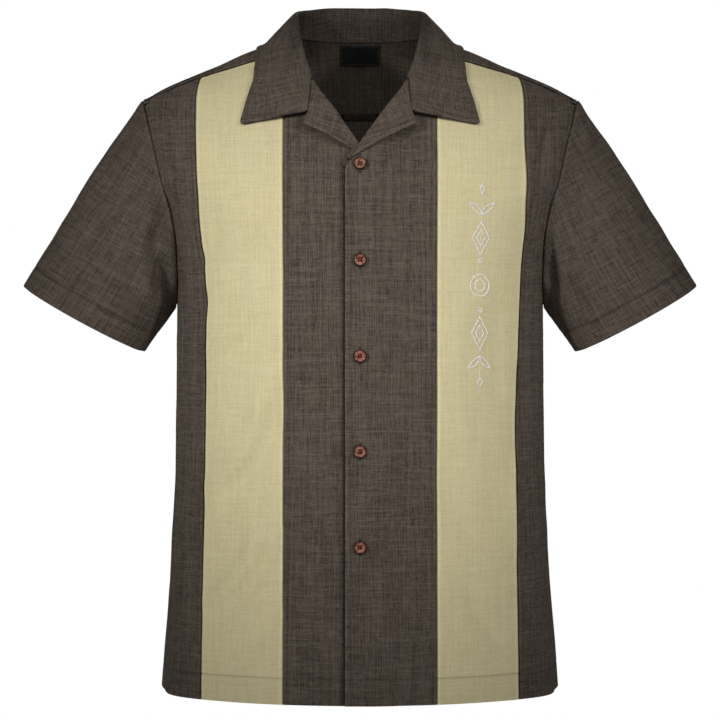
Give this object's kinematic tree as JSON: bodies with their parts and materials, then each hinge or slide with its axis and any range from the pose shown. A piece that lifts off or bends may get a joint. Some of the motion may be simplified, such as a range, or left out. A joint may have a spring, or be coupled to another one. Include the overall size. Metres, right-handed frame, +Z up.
{
  "type": "bowling shirt",
  "caption": "Short-sleeved bowling shirt held in its worn, hollow form, with a notched open collar, pale contrast front panels, buttoned front and yoke.",
  "frame": {"origin": "on the centre plane, level with the top of the shoulders at the side of the neck and over the side seams, where the wearer's shoulders hold the shirt up", "axes": "+X towards the wearer's left, +Y towards the back, +Z up along the body; the buttoned front faces -Y"},
  "size_m": [0.7508, 0.2819, 0.7735],
  "materials": {
    "brown_cloth": "matte",
    "sage_cloth": "matte",
    "button": "satin",
    "label": "matte"
  },
  "bodies": {
    "root": {"back": "brown_cloth", "yoke": "brown_cloth", "left_centre_front": "brown_cloth", "right_centre_front": "brown_cloth", "left_contrast_panel": "sage_cloth", "right_contrast_panel": "sage_cloth", "left_side_front": "brown_cloth", "right_side_front": "brown_cloth", "left_sleeve": "brown_cloth", "right_sleeve": "brown_cloth", "collar": "brown_cloth", "left_lapel": "brown_cloth", "right_lapel": "brown_cloth", "button_1": "button", "button_2": "button", "button_3": "button", "button_4": "button", "button_5": "button", "neck_label": "label"}
  },
  "joints": []
}
